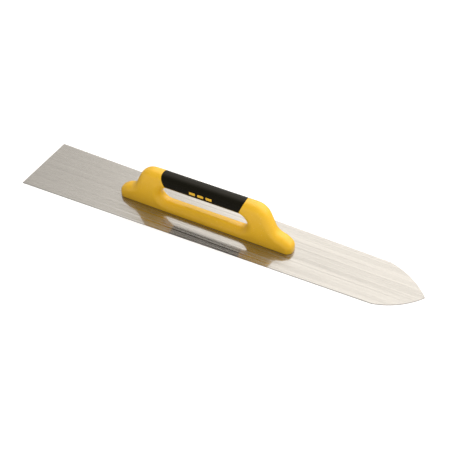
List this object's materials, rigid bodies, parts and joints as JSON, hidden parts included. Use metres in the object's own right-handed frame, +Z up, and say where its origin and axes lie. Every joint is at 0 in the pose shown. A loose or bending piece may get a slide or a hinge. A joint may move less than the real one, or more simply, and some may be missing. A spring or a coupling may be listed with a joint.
{
  "type": "pointed smoothing trowel",
  "caption": "Long pointed finishing trowel: thin stainless blade with a square heel and pointed toe, and a closed plastic handle with a soft grip.",
  "frame": {"origin": "on the flat working face, half-way along the blade and on its centre line", "axes": "+X along the blade towards the pointed toe, +Y across the blade, +Z up from the working face to the handle"},
  "size_m": [0.68, 0.1186, 0.073],
  "materials": {
    "blade_steel": "satin polished, fine lengthwise grain",
    "yellow_plastic": "semi-gloss moulded polypropylene",
    "grip_rubber": "satin soft-touch",
    "rail_aluminium": "mill finish",
    "rivet_steel": "ground flush",
    "screw_steel": "zinc plated",
    "insert_brass": "machined"
  },
  "bodies": {
    "root": {"blade": "blade_steel", "handle_body": "yellow_plastic", "grip_sleeve": "grip_rubber", "mounting_rail": "rail_aluminium", "blade_rivets": "rivet_steel", "rail_screws": "screw_steel", "threaded_inserts": "insert_brass"}
  },
  "joints": []
}
